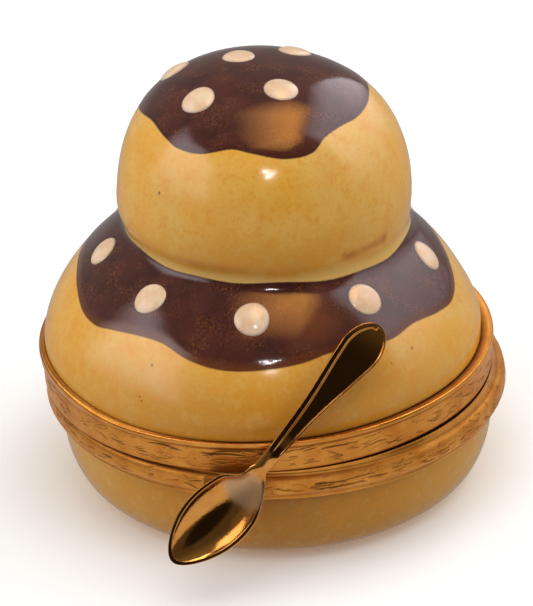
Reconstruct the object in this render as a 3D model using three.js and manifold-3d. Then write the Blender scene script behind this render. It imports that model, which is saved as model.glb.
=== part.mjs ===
// A glazed porcelain trinket box in the form of a two-tier choux bun: a small bun fused on a wide
// one, with a hinged lid, gilt rims and a spoon as its clasp. Millimetres, +Z up. The origin is the
// middle of the flat foot, the clasp is at -Y and the hinge at +Y.

import * as THREE from 'three';
import { mergeVertices } from 'three/addons/utils/BufferGeometryUtils.js';
import Module from 'manifold-3d';

const degrees = THREE.MathUtils.degToRad;

// Main sizes
const rimRadius = 28; // the base rim at its widest
const baseHeight = 13.4; // table to the base rim's upper face
const gap = 0.3; // between pieces that touch
const sides = 58; // facets round each turned piece
const barSides = 18;
const dotSides = 12;
const dishSides = 22;
const flangeThickness = 0.75; // the rims' flat faces at the seam
const bead = 0.3; // rounding of the rims' edges

// Base bowl and its rim
const footRadius = 19.9; // flat disc that it stands on
const bowlRadius = 26.2;
const bowlWall = 3;
const bowlFullness = 2.7;
const floorThickness = 3.5;
const baseRimLow = 10.2; // table to the band's lower edge
const baseRimLowRadius = 27.45;
const baseRimWideHeight = 12.9; // where the band is widest
const baseRimTopRadius = 26.85; // where the sloping shoulder meets the flat face

// The lid sits a little askew: its own frame starts at the middle of its lower face
const lidSeat = new THREE.Vector3(-1.2, 0, 14.2);
const lidTilt = 1.2; // degrees, right side up

// Lid rim
const lidRimRadius = 27.05;
const lidRimHeight = 3.9;
const lipRadius = 27.35; // rounded edge that stands out at the top of the band
const lipHeight = 1;
const collarRise = 0.25; // from the lip in to the porcelain

// Wide bun of the lid
const domeShift = -0.35; // the bun sits off the rim's centre
const domeRadius = 26.1;
const domeFoot = 4.2;
const domeRise = 20;
const domeFullness = 1.65;
const lidWall = 2.4;
const seatRadius = 25.6; // the bun's edge inside the rim

// Small bun on top
const crownCentre = new THREE.Vector3(0.75, 0, 20.9);
const crownRadius = 17.3;
const crownRise = 16.95; // above its widest ring
const crownDrop = 8.2; // below its widest ring
const crownFullness = 2.42;
const crownLean = 8; // degrees, to the right

// Enamel dots: turn from the front and height angle on the bun, in degrees
const dotRadius = 2;
const dotHeight = 0.6;
const crownDots = [[-54, 56], [-98, 55], [-119, 79], [2, 72], [142, 74], [172, 49], [-152, 50]];
const ringDotCount = 9;
const ringDotStart = -82.7;
const ringDotHeightAngle = 39.2;
const ringDotSlope = 3.2; // the ring of dots lies higher on the left
const ringDotDip = 1.9; // and lower at the front

// Hinge
const barrelRadius = 1.3;
const boreRadius = 0.8;
const pinRadius = 0.5;
const pinOverhang = 0.3;
const middleKnuckle = 3.6;
const sideKnuckle = 3.2;
const knuckleGap = 0.35;
const leafDepth = 3; // from the pin's line into the rim
const leafHeight = 2.1;
const leafClear = 0.1; // from the seam's edge to the leaf
const hingeY = rimRadius + barrelRadius + knuckleGap;
const hingeZ = (baseHeight + lidSeat.z) / 2;
const halfSeam = (lidSeat.z - baseHeight) / 2;

// Spoon, in its own frame: +Y to the handle's end, +Z out of its face
const spoonPlace = new THREE.Vector3(-2.5, -29.7, 15.3); // where bowl and handle meet
const spoonLean = degrees(25.5); // back from upright
const spoonTurn = degrees(42.1); // handle to the right
const handleLength = 21.2;
const handleThickness = 1;
const handleBend = 2; // how far its end curves back to the lid
const bendPower = 4;
const neckHalfWidth = 0.8;
const endHalfWidth = 2.4;
const endRound = 3.6; // length of the rounded end
const slimPart = 0.6; // share of the length before the handle starts to widen
const flarePart = 0.7;
const borderTaper = 5; // how much longer than wide the border is at the neck
const borderWidth = 0.65;
const borderDepth = 0.25;
const dishHalfLength = 7.1;
const dishHalfWidth = 3.5;
const dishDepth = 1.7;
const dishWall = 0.6;
const dishPoint = 0.15; // how much the outline narrows to its ends
const dishOverlap = 0.5; // of the dish onto the handle
const solderPlace = 2.2; // along the handle
const solderRadius = 0.9;
const solderDepth = 1.1; // below the handle's middle

// Catch plate on the base rim, half behind the spoon's bowl
const catchSize = new THREE.Vector3(6, 0.5, 2.2);
const catchTurn = degrees(-11);

const wasm = await Module();
wasm.setup();

// A closed geometry as a solid that can be joined and cut.
function solid(geometry) {
  const bare = geometry.clone();
  bare.deleteAttribute('normal');
  bare.deleteAttribute('uv');
  const merged = mergeVertices(bare, 1e-4);
  const index = merged.index.array;
  const triangles = [];
  for (let i = 0; i < index.length; i += 3) {
    const [a, b, c] = index.subarray(i, i + 3);
    if (a !== b && b !== c && c !== a) {
      triangles.push(a, b, c);
    }
  }
  const mesh = new wasm.Mesh({
    numProp: 3,
    vertProperties: Float32Array.from(merged.attributes.position.array),
    triVerts: Uint32Array.from(triangles),
  });
  return new wasm.Manifold(mesh);
}

// A solid's surface as a geometry.
function surface(body) {
  const mesh = body.getMesh();
  const geometry = new THREE.BufferGeometry();
  geometry.setAttribute('position', new THREE.BufferAttribute(mesh.vertProperties, 3));
  geometry.setIndex(new THREE.BufferAttribute(mesh.triVerts, 1));
  geometry.computeVertexNormals();
  return geometry;
}

// Turned about +Z from (radius, height) points that run up the outside and back inside.
function turned(points) {
  const profile = points.map(([r, z]) => new THREE.Vector2(Math.max(r, 0), z));
  return solid(new THREE.LatheGeometry(profile, sides).rotateX(Math.PI / 2));
}

// A round bar along X about the origin.
function bar(radius, length) {
  return solid(new THREE.CylinderGeometry(radius, radius, length, barSides).rotateZ(Math.PI / 2));
}

// Quarter of a superellipse about (r, z), from its side to its end. Fullness 2 is an ellipse.
function quarter(r, z, reach, rise, fullness, steps) {
  const points = [];
  for (let i = 0; i <= steps; i += 1) {
    const angle = (Math.PI / 2) * (i / steps);
    const across = i === steps ? 0 : reach * Math.cos(angle) ** (2 / fullness);
    const along = rise * Math.sin(angle) ** (2 / fullness);
    points.push([r + across, z + along]);
  }
  return points;
}

// From the lid's own frame to the box's.
function onLid(body) {
  return body.rotate([0, -lidTilt, 0]).translate(lidSeat.toArray());
}

// From the small bun's own frame to the lid's.
function onCrown(body) {
  return body.rotate([0, crownLean, 0]).translate(crownCentre.toArray());
}

function baseBowl() {
  const top = baseHeight - flangeThickness - gap;
  const side = bowlRadius - footRadius;
  const depth = baseRimLow - floorThickness;
  const inner = bowlRadius - bowlWall;
  const outside = quarter(footRadius, baseRimLow, side, -baseRimLow, bowlFullness, 9).reverse();
  const inside = quarter(footRadius - bowlWall, baseRimLow, side, -depth, bowlFullness, 5);
  const edge = [[bowlRadius, top], [inner, top]];
  return turned([[0, 0], ...outside, ...edge, ...inside, [0, floorThickness]]);
}

// A hinge barrel about the pin's line, with a leaf into its rim's band.
function knuckle(x, length, leafLow) {
  const leaf = new THREE.BoxGeometry(length, leafDepth, leafHeight);
  leaf.translate(0, -leafDepth / 2, leafLow + leafHeight / 2);
  const barrel = bar(barrelRadius, length).add(solid(leaf)).subtract(bar(boreRadius, length * 2));
  return barrel.translate([x, hingeY, hingeZ]);
}

// The band flares up to its widest line, and a shoulder slopes from there to the flat face.
function baseRim() {
  const inner = bowlRadius + gap;
  const flangeInner = bowlRadius - bowlWall;
  const ring = turned([
    [inner, baseRimLow],
    [baseRimLowRadius - bead / 2, baseRimLow],
    [baseRimLowRadius + bead / 2, baseRimLow + bead],
    [baseRimLowRadius, baseRimLow + 2 * bead],
    [rimRadius - bead / 2, baseRimWideHeight - bead],
    [rimRadius, baseRimWideHeight],
    [rimRadius - bead / 2, baseRimWideHeight + bead / 2],
    [baseRimTopRadius, baseHeight],
    [flangeInner, baseHeight],
    [flangeInner, baseHeight - flangeThickness],
    [inner, baseHeight - flangeThickness],
    [inner, baseRimLow],
  ]);
  const x = middleKnuckle / 2 + knuckleGap + sideKnuckle / 2;
  const leafLow = -halfSeam - leafClear - leafHeight;
  return ring.add(knuckle(-x, sideKnuckle, leafLow)).add(knuckle(x, sideKnuckle, leafLow));
}

// An upright band with a rounded lip that stands out at its top.
function lidRim() {
  const inner = seatRadius + gap;
  const flangeInner = seatRadius - lidWall;
  const ring = turned([
    [flangeInner, 0],
    [lidRimRadius - bead / 2, 0],
    [lidRimRadius, bead],
    [lidRimRadius - bead / 2, lidRimHeight - lipHeight],
    [lipRadius - bead / 2, lidRimHeight - lipHeight + bead],
    [lipRadius, lidRimHeight - lipHeight / 2],
    [lipRadius - bead / 2, lidRimHeight - bead / 2],
    [inner + bead, lidRimHeight + collarRise],
    [inner, lidRimHeight + collarRise],
    [inner, flangeThickness],
    [flangeInner, flangeThickness],
    [flangeInner, 0],
  ]);
  return onLid(ring).add(knuckle(0, middleKnuckle, halfSeam + leafClear));
}

function hingePin() {
  const length = middleKnuckle + 2 * (knuckleGap + sideKnuckle + pinOverhang);
  return bar(pinRadius, length).translate([0, hingeY, hingeZ]);
}

// The wide bun, above the rim, and its narrower edge inside the rim.
function dome() {
  const foot = domeFoot + gap;
  const bun = turned([[0, foot], ...quarter(0, foot, domeRadius, domeRise - gap, domeFullness, 12)]);
  const low = flangeThickness + gap;
  const top = foot + gap;
  const seat = turned([[0, low], [seatRadius, low], [seatRadius, top], [0, top]]);
  return bun.translate([domeShift, 0, 0]).add(seat);
}

// The hollow in the wide bun, open at the seam.
function domeHollow() {
  const radius = seatRadius - lidWall;
  const side = quarter(0, domeFoot, radius, domeRise - lidWall, domeFullness, 6);
  return turned([[0, -gap], [radius, -gap], ...side]);
}

// The small bun about its own centre, upright. A positive shrink gives the hollow inside it.
function crown(shrink, steps) {
  const radius = crownRadius - shrink;
  const low = quarter(0, 0, radius, shrink - crownDrop, crownFullness, 4).reverse();
  const high = quarter(0, 0, radius, crownRise - shrink, crownFullness, steps);
  return turned([...low.slice(0, -1), ...high]);
}

// A lens of enamel on a bun's surface, at a turn from the front and a height angle.
function dot(turn, heightAngle, radius, rise, fullness) {
  const side = Math.cos(degrees(heightAngle));
  const top = Math.sin(degrees(heightAngle));
  const steep = side ** (2 - 2 / fullness) / radius;
  const flat = top ** (2 - 2 / fullness) / rise;
  const lens = new THREE.SphereGeometry(1, dotSides, dotSides / 2).rotateX(Math.PI / 2);
  lens.scale(dotRadius, dotRadius, dotHeight);
  lens.rotateX(Math.atan2(steep, flat));
  lens.translate(0, -radius * side ** (2 / fullness), rise * top ** (2 / fullness));
  return solid(lens.rotateZ(degrees(turn)));
}

function lidShell() {
  let bun = crown(0, 10);
  for (const [turn, heightAngle] of crownDots) {
    bun = bun.add(dot(turn, heightAngle, crownRadius, crownRise, crownFullness));
  }
  let shell = dome().add(onCrown(bun));
  for (let i = 0; i < ringDotCount; i += 1) {
    const turn = ringDotStart + (360 / ringDotCount) * i;
    const slope = ringDotSlope * Math.sin(degrees(turn)) + ringDotDip * Math.cos(degrees(turn));
    const heightAngle = ringDotHeightAngle - slope;
    const drop = dot(turn, heightAngle, domeRadius, domeRise, domeFullness);
    shell = shell.add(drop.translate([domeShift, 0, domeFoot]));
  }
  return onLid(shell.subtract(domeHollow()).subtract(onCrown(crown(lidWall, 5))));
}

// Outline of the handle, drawn in by an inset: it widens from the neck to a rounded end.
function handleOutline(inset) {
  const neck = neckHalfWidth - inset * 0.8;
  const end = endHalfWidth - inset;
  const low = inset * borderTaper;
  const round = handleLength - endRound;
  const slim = round * slimPart;
  const flare = round * flarePart;
  const shoulder = end * 0.8;
  const shape = new THREE.Shape();
  shape.moveTo(neck, low);
  shape.bezierCurveTo(neck, slim, shoulder, flare, end, round);
  shape.absellipse(0, round, end, endRound - inset, 0, Math.PI, false);
  shape.bezierCurveTo(-shoulder, flare, -neck, slim, -neck, low);
  shape.closePath();
  return shape;
}

// The outline as a plate between two heights, curved back along its length.
function handlePlate(inset, low, high) {
  const options = { depth: high - low, bevelEnabled: false, curveSegments: 10 };
  const plate = new THREE.ExtrudeGeometry(handleOutline(inset), options).translate(0, 0, low);
  const place = plate.attributes.position;
  for (let i = 0; i < place.count; i += 1) {
    const along = place.getY(i) / handleLength;
    place.setZ(i, place.getZ(i) - handleBend * along ** bendPower);
  }
  return solid(plate);
}

// The spoon's bowl: a dish hollow towards +Z, with a narrowed outline and its tip at -Y.
function dish() {
  const egg = (shrink) => {
    const ball = new THREE.SphereGeometry(1, dishSides, 14);
    const place = ball.attributes.position;
    for (let i = 0; i < place.count; i += 1) {
      place.setX(i, place.getX(i) * (1 - dishPoint * place.getY(i) ** 2));
    }
    ball.scale(dishHalfWidth - shrink, dishHalfLength - shrink, dishDepth - shrink / 2);
    return solid(ball.translate(0, dishOverlap - dishHalfLength, 0));
  };
  const reach = 4 * dishHalfLength;
  const above = new THREE.BoxGeometry(reach, reach, reach);
  above.translate(0, 0, reach / 2 + handleThickness / 5);
  return egg(0).subtract(egg(dishWall)).subtract(solid(above));
}

function spoon() {
  const half = handleThickness / 2;
  const handle = handlePlate(0, -half, half);
  const sunk = handlePlate(borderWidth, half - borderDepth, half * 3);
  const solder = new THREE.CylinderGeometry(solderRadius, solderRadius, solderDepth, barSides);
  solder.rotateX(Math.PI / 2).translate(0, solderPlace, -solderDepth / 2);
  return handle.subtract(sunk).add(dish()).add(solid(solder));
}

// A small plate that lies along the slope of the base rim's band.
function catchPlate() {
  const slope = Math.atan2(rimRadius - baseRimLowRadius, baseRimWideHeight - baseRimLow);
  const clear = catchSize.y / 2 + gap * 1.5;
  const plate = new THREE.BoxGeometry(catchSize.x, catchSize.y, catchSize.z);
  plate.rotateX(slope);
  plate.translate(0, -(rimRadius + baseRimLowRadius) / 2 - clear, (baseRimWideHeight + baseRimLow) / 2);
  return solid(plate.rotateZ(catchTurn));
}

const porcelain = new THREE.MeshStandardMaterial({ color: 0xd6a550, roughness: 0.2, metalness: 0 });
const gilt = new THREE.MeshStandardMaterial({ color: 0xb97d3c, roughness: 0.35, metalness: 1 });

function piece(name, body, material) {
  const mesh = new THREE.Mesh(surface(body), material);
  mesh.name = name;
  return mesh;
}

const base = new THREE.Group();
base.add(piece('base_bowl', baseBowl(), porcelain));
base.add(piece('base_rim', baseRim(), gilt));
base.add(piece('hinge_pin', hingePin(), gilt));
base.add(piece('catch_plate', catchPlate(), gilt));

const clasp = new THREE.Group();
clasp.position.copy(spoonPlace);
clasp.rotation.x = Math.PI / 2 - spoonLean;
const spoonMesh = piece('spoon', spoon(), gilt);
spoonMesh.rotation.z = -spoonTurn;
clasp.add(spoonMesh);

const lid = new THREE.Group();
lid.add(piece('lid_shell', lidShell(), porcelain));
lid.add(piece('lid_rim', lidRim(), gilt));
lid.add(clasp);

const box = new THREE.Group();
box.add(base, lid);

export default box;
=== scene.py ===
# Dresses the hinged porcelain trinket box: glazed buns, enamel dots, engraved gilt rims, a spoon as clasp.
# Sizes in the dictionaries are millimetres and angles degrees; the meshes are written in metres.
import bpy
import numpy as np
from mathutils import Matrix, Vector


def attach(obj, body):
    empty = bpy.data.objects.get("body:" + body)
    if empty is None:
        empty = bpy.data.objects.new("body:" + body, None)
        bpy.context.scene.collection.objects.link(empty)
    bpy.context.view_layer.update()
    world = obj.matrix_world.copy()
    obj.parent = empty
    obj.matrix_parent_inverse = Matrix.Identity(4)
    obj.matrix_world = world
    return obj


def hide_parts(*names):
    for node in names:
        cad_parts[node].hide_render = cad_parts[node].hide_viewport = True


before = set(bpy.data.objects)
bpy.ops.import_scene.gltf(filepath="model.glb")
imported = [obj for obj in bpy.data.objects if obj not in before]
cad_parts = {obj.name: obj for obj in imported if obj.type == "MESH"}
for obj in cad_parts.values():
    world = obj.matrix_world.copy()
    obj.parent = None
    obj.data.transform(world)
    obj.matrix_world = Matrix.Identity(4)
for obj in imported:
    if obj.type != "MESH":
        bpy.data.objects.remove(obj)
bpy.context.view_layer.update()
mm = 0.001
print("frame loaded:", len(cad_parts), "nodes")

box = dict(
    lidSeat=(-1.2, 0, 14.2), lidTilt=1.2,  # the lid sits askew, its right side up
    hingeY=29.65, hingeZ=13.8,  # the pin's line runs along X
)


def ease(low, high, x):
    # 0 up to low, 1 from high on, and the S curve 3t^2 - 2t^3 between
    t = np.clip((x - low) / (high - low), 0, 1)
    return t * t * (3 - 2 * t)


def turned(p, axis, angle):
    # rotation about one axis: the two other coordinates mix by the angle's cosine and sine
    c, s = np.cos(np.radians(angle)), np.sin(np.radians(angle))
    i, j = {"x": (1, 2), "y": (2, 0), "z": (0, 1)}[axis]
    q = np.array(p, float)
    q[..., i], q[..., j] = c * p[..., i] - s * p[..., j], s * p[..., i] + c * p[..., j]
    return q


def radiusOf(p):
    # distance from the Z axis
    return np.hypot(p[..., 0], p[..., 1])


def turnOf(p):
    # degrees round the Z axis: 0 is the front and 90 the right side
    return np.degrees(np.arctan2(p[..., 0], -p[..., 1]))


def bell(x, middle, width):
    # 1 at the middle, and exp(-d^2) at d widths from it
    return np.exp(-((x - middle) / width) ** 2)


def roundedMax(a, b, k):
    # the larger value, which gains k/4 (1 - |a - b|/k)^2 where the two are closer than k
    return np.maximum(a, b) + k / 4 * np.clip(1 - np.abs(a - b) / k, 0, 1) ** 2


def onLid(p):
    # from the lid's own frame to the box's: tilt about Y, then move to the seat
    return turned(p, "y", -box["lidTilt"]) + np.array(box["lidSeat"])


def around(profile, turn):
    # lathe: each (radius, height) point goes round Z; turn 0 is the front and 90 the right side
    r, z = profile[:, 0, None], profile[:, 1, None]
    a = np.radians(turn)[None, :]
    return np.stack([r * np.sin(a), -r * np.cos(a), z + 0 * a], -1)


def turns(count):
    # degrees, evenly spaced round the circle
    return np.arange(count) * 360.0 / count


def quarter(r, z, reachOut, rise, fullness, steps):
    # a quarter superellipse about (r, z): across = reach cos^(2/n), along = rise sin^(2/n)
    a = np.linspace(0, np.pi / 2, steps)
    cosine = np.clip(np.cos(a), 0, 1)
    return np.stack([r + reachOut * cosine ** (2 / fullness), z + rise * np.sin(a) ** (2 / fullness)], -1)


def wavyLine(points, turn):
    # a closed Catmull-Rom curve through (turn, height) points, read off at every turn
    knots = np.array(sorted(points), float)
    x = np.r_[knots[-2:, 0] - 360, knots[:, 0], knots[:2, 0] + 360]
    y = np.r_[knots[-2:, 1], knots[:, 1], knots[:2, 1]]
    a = (turn - knots[0, 0]) % 360 + knots[0, 0]
    i = np.clip(np.searchsorted(x, a, side="right") - 1, 1, len(x) - 3)
    t = (a - x[i]) / (x[i + 1] - x[i])
    m0 = (y[i + 1] - y[i - 1]) / (x[i + 1] - x[i - 1]) * (x[i + 1] - x[i])
    m1 = (y[i + 2] - y[i]) / (x[i + 2] - x[i]) * (x[i + 1] - x[i])
    return ((2 * t**3 - 3 * t**2 + 1) * y[i] + (t**3 - 2 * t**2 + t) * m0
            + (3 * t**2 - 2 * t**3) * y[i + 1] + (t**3 - t**2) * m1)


def outward(rows):
    # unit normals of a grid that is closed round: cross product of its two central differences
    down = np.gradient(rows, axis=0)
    side = np.roll(rows, -1, 1) - np.roll(rows, 1, 1)
    n = np.cross(down, side)
    n /= np.linalg.norm(n, axis=-1, keepdims=True) + 1e-12
    middle = rows.mean((0, 1))
    return n * np.sign(((rows - middle) * n).sum())


def cornerLoop(corners):
    # closed profile from (radius, height, rounding, rows to the next corner): each corner turns into a small
    # quadratic arc and each side between is divided evenly; also gives every row the number of its side
    p = np.array([c[:2] for c in corners], float)
    nxt, prev = np.roll(p, -1, 0), np.roll(p, 1, 0)
    rounding = np.array([c[2] for c in corners])
    ahead = (nxt - p) / np.linalg.norm(nxt - p, axis=1)[:, None]
    behind = (prev - p) / np.linalg.norm(prev - p, axis=1)[:, None]
    rows, sides = [], []  # an arc's rows count as halfway between the sides that it joins
    for i, corner in enumerate(corners):
        r = rounding[i]
        t = np.linspace(0, 1, 5 if r >= 0.1 else 3)[:, None]  # a wide arc has more rows
        arc = (1 - t) ** 2 * (p[i] + behind[i] * r) + 2 * t * (1 - t) * p[i] + t**2 * (p[i] + ahead[i] * r)
        k = (i + 1) % len(corners)
        run = np.linspace(arc[-1], p[k] + behind[k] * rounding[k], corner[3] + 2)[1:-1]
        rows += [arc, run]
        sides += [np.full(len(arc), i - 0.5), np.full(len(run), float(i))]
    return np.vstack(rows), np.concatenate(sides)


def shellFaces(rows, loop):
    # quads between neighbouring rings; an open run of rings is closed by a fan at each end, a loop joins its ends.
    # A negative volume means that the faces point inwards, and turns them round
    n, m = rows.shape[:2]
    j = np.arange(m)
    k = (j + 1) % m
    i = (np.arange(n if loop else n - 1) * m)[:, None]
    nxt = (i + m) % (n * m)
    quads = np.stack([i + j, i + k, nxt + k, nxt + j], -1).reshape(-1, 4)
    points = rows.reshape(-1, 3)
    fans = np.zeros((0, 3), int)
    if not loop:
        points = np.vstack([points, rows[0].mean(0), rows[-1].mean(0)])
        last = (n - 1) * m
        fans = np.vstack([np.stack([np.full(m, n * m), k, j], -1),
                          np.stack([np.full(m, n * m + 1), last + j, last + k], -1)])
    thirds = np.vstack([quads[:, :3], quads[:, [0, 2, 3]], fans])
    a, b, c = (points[thirds[:, q]] - points.mean(0) for q in range(3))
    if (a * np.cross(b, c)).sum() < 0:
        quads, fans = quads[:, ::-1], fans[:, ::-1]
    return points, quads, fans


def addPiece(name, shells, material, body, nodes=(), values=None):
    # shells are (rings, loop) pairs; values hold one number per ring point, or one for the whole shell
    parts, start = [], 0
    for rows, loop in shells:
        points, quads, fans = shellFaces(rows, loop)
        parts.append((points, quads + start, fans + start))
        start += len(points)
    points, quads, fans = (np.vstack(p) for p in zip(*parts))
    mesh = bpy.data.meshes.new(name)
    mesh.from_pydata((points * mm).tolist(), [], quads.tolist() + fans.tolist())
    mesh.shade_smooth()
    for key, perShell in (values or {}).items():
        flat = []
        for (rows, loop), value in zip(shells, perShell):
            grid = np.broadcast_to(value, rows.shape[:2])
            flat += [grid.ravel()] if loop else [grid.ravel(), [grid[0].mean(), grid[-1].mean()]]
        layer = mesh.attributes.new(key, "FLOAT", "POINT")
        layer.data.foreach_set("value", np.concatenate(flat).astype(np.float32))
    mesh.materials.append(material)
    piece = bpy.data.objects.new(name, mesh)
    bpy.context.scene.collection.objects.link(piece)
    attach(piece, body)
    if nodes:
        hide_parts(*nodes)
    print(name, "made:", 2 * len(quads) + len(fans), "triangles")


class Tint:
    # a shader socket that can stand in sums and products; each operation adds a Math node
    def __init__(self, tree, socket=None):
        self.tree, self.socket = tree, socket

    def node(self, kind, sockets=None, out=0, **settings):
        # a new node: its settings first, then the values or links of its sockets; gives one of its outputs
        made = self.tree.nodes.new("ShaderNode" + kind)
        for key, value in settings.items():
            setattr(made, key, value)
        for key, value in (sockets or {}).items():
            if isinstance(value, Tint):
                self.tree.links.new(value.socket, made.inputs[key])
            else:
                made.inputs[key].default_value = value
        return Tint(self.tree, made.outputs[out]) if len(made.outputs) else None

    def maths(self, operation, *terms):  # a Math node of these terms
        return self.node("Math", dict(enumerate(terms)), operation=operation)

    def __add__(self, other): return self.maths("ADD", self, other)
    def __radd__(self, other): return self.maths("ADD", other, self)
    def __sub__(self, other): return self.maths("SUBTRACT", self, other)
    def __rsub__(self, other): return self.maths("SUBTRACT", other, self)
    def __mul__(self, other): return self.maths("MULTIPLY", self, other)
    def __rmul__(self, other): return self.maths("MULTIPLY", other, self)

    def rise(self, low, high):  # 0 at low to 1 at high, eased
        return self.node("MapRange", {0: self, 1: low, 2: high}, interpolation_type="SMOOTHSTEP")

    def mix(self, first, second):  # colours, by this value
        return self.node("Mix", {0: self, 6: first, 7: second}, 2, data_type="RGBA")

    def stored(self, name):  # a number that addPiece keeps for each point
        return self.node("Attribute", None, 2, attribute_name=name)

    def noise(self, size, detail=2.0, rough=0.5, shift=(0, 0, 0)):  # soft, with features of about size millimetres
        moved = self.node("Mapping", {"Vector": self, "Location": shift})
        return self.node("TexNoise", {"Vector": moved, "Scale": 1000 / size, "Detail": detail, "Roughness": rough})

    def specks(self, spacing, size, share):
        # round specks: inside the given share of cells of that spacing, points near the cell's middle
        near, pick = (self.node("TexVoronoi", {"Vector": self, "Scale": 1000 / spacing}, out) for out in (0, 1))
        chosen = self.node("SeparateColor", {0: pick})
        return (1 - near.rise(size * 0.6, size)) * (1 - chosen.rise(share, share + 0.01))

    def bumped(self, strength, distance):  # normals tipped by the slope of this height, a distance in millimetres
        return self.node("Bump", {"Height": self, "Strength": strength, "Distance": distance * mm})

    def surface(self, sockets):  # one principled shader makes the whole finish
        self.node("OutputMaterial", {"Surface": self.node("BsdfPrincipled", sockets)})


def tone(red, green, blue):
    # a screen colour of 0 to 255 as linear light
    c = np.array([red, green, blue]) / 255
    return (*np.where(c < 0.04045, c / 12.92, ((c + 0.055) / 1.055) ** 2.4), 1.0)


def newFinish(name):
    # a material with an empty tree, and the place on the piece in metres
    material = bpy.data.materials.new(name)
    material.use_nodes = True
    material.node_tree.nodes.clear()
    return material, Tint(material.node_tree).node("TexCoord", out=3)


def layered(colour, tones, *layers):
    # colours laid over one another, each by its share
    for share, key in layers:
        colour = share.mix(colour, tones[key])
    return colour


porcelainTones = dict(
    ochre=tone(234, 172, 66), pale=tone(232, 188, 104), orange=tone(226, 146, 38), deep=tone(204, 132, 30),
    rust=tone(190, 112, 28), beige=tone(222, 184, 104), speck=tone(96, 62, 34),
    brown=tone(78, 37, 30), brownDark=tone(58, 27, 22), amber=tone(132, 74, 34), inside=tone(236, 222, 196),
    # firing flaws: (place, radius, tone)
    flaws=[((-12.6, -11.6, 41.36), 0.2, tone(92, 60, 44)), ((-12.9, -11.3, 41.8), 0.16, tone(140, 98, 66)),
           ((-13.98, -20.57, 24.25), 0.17, tone(96, 66, 38)), ((-15.5, -21.5, 20.75), 0.13, tone(120, 66, 26)),
           ((-15.32, -21.8, 20.35), 0.13, tone(132, 72, 28)), ((15.48, -17.54, 23.75), 0.24, tone(168, 108, 44)),
           ((12.95, -20.0, 23.25), 0.14, tone(170, 110, 44))],
)


def porcelainGlaze():
    # ochre stippled at three sizes and deeper low down, partly glaze pooling and partly painted shade, paler at the
    # sides as painted sheen; over it brown glaze where the brown attribute is above zero
    c = porcelainTones
    material, place = newFinish("porcelainGlaze")
    mottle, stipple, grain = place.noise(1.6, 2, 0.6), place.noise(0.42, 2, 0.6, (0.03, 0, 0)), place.noise(0.26)
    ochre = layered(
        c["ochre"], c, (place.noise(7).rise(0.35, 0.7) * 0.6, "pale"), (place.stored("low"), "deep"),
        (place.noise(3.6, 2, 0.5, (0, 0.02, 0)).rise(0.45, 0.7) * 0.25, "orange"),
        (mottle.rise(0.5, 0.72) * 0.4, "orange"), ((1 - mottle.rise(0.3, 0.48)) * 0.22, "pale"),
        ((1 - stipple.rise(0.3, 0.5)) * 0.14, "pale"), (stipple.rise(0.52, 0.7) * 0.45, "orange"),
        (place.stored("rust") * (0.4 + 0.6 * mottle.rise(0.35, 0.6)), "rust"), (place.stored("seamBand"), "beige"),
        # the speck tone also darkens by shadeAndGrime: painted shade with some grime at the lid's foot, the glimpsed
        # skirt and below the bowl's rim
        (place.stored("shadeAndGrime"), "speck"), (place.specks(7.0, 0.022, 0.12) * 0.7, "speck"))
    for spot, radius, dark in c["flaws"]:
        away = place.node("VectorMath", {0: place, 1: tuple(np.array(spot) * mm)}, 1, operation="DISTANCE")
        ochre = ((1 - away.rise(radius * 0.5 * mm, radius * 1.3 * mm)) * 0.85).mix(ochre, dark)
    edge, dust = place.stored("brown"), place.noise(2.6, 2, 0.5, (0.01, 0, 0)).rise(0.42, 0.68)
    glaze = layered(
        c["brown"], c, (place.noise(3.4, 3).rise(0.35, 0.75), "brownDark"),
        # brownDark towards the glaze's edge: a darker rim of the glaze itself, and by the crease painted shade
        (grain.rise(0.4, 0.8) * (0.15 + 0.85 * dust) * 0.75, "amber"), ((1 - edge.rise(0.0, 0.9)) * 0.45, "brownDark"),
        # amber: a painted reflection of a warm light, and thin glaze along the ring's edge
        (place.stored("thinGlazeAndReflection") * (0.5 + 0.6 * grain), "amber"))
    cover = (edge + (grain - 0.5) * 0.12).rise(-0.1, 0.12)  # a slightly ragged edge
    skin = place.stored("inner").mix(cover.mix(ochre, glaze), c["inside"])
    ripple = (place.noise(2.8) + grain * 0.2).bumped(0.3, 0.06)
    place.surface({"Base Color": skin, "Roughness": 0.15 - cover * 0.05, "IOR": 1.52, "Normal": ripple})
    return material


def dotEnamel():
    # cream in two soft tones with a few fine specks, greyer along the edge
    material, place = newFinish("dotEnamel")
    cream = place.noise(1.5, 3).rise(0.3, 0.7).mix(tone(238, 210, 176), tone(230, 188, 150))
    cream = (place.specks(0.7, 0.1, 0.12) * 0.35).mix(cream, tone(196, 150, 110))
    cream = (place.stored("rim").rise(0.86, 0.97) * 0.7).mix(cream, tone(176, 158, 146))
    ripple = place.noise(0.8).bumped(0.15, 0.04)
    place.surface({"Base Color": cream, "Roughness": 0.16, "IOR": 1.5, "Normal": ripple})
    return material


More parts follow.
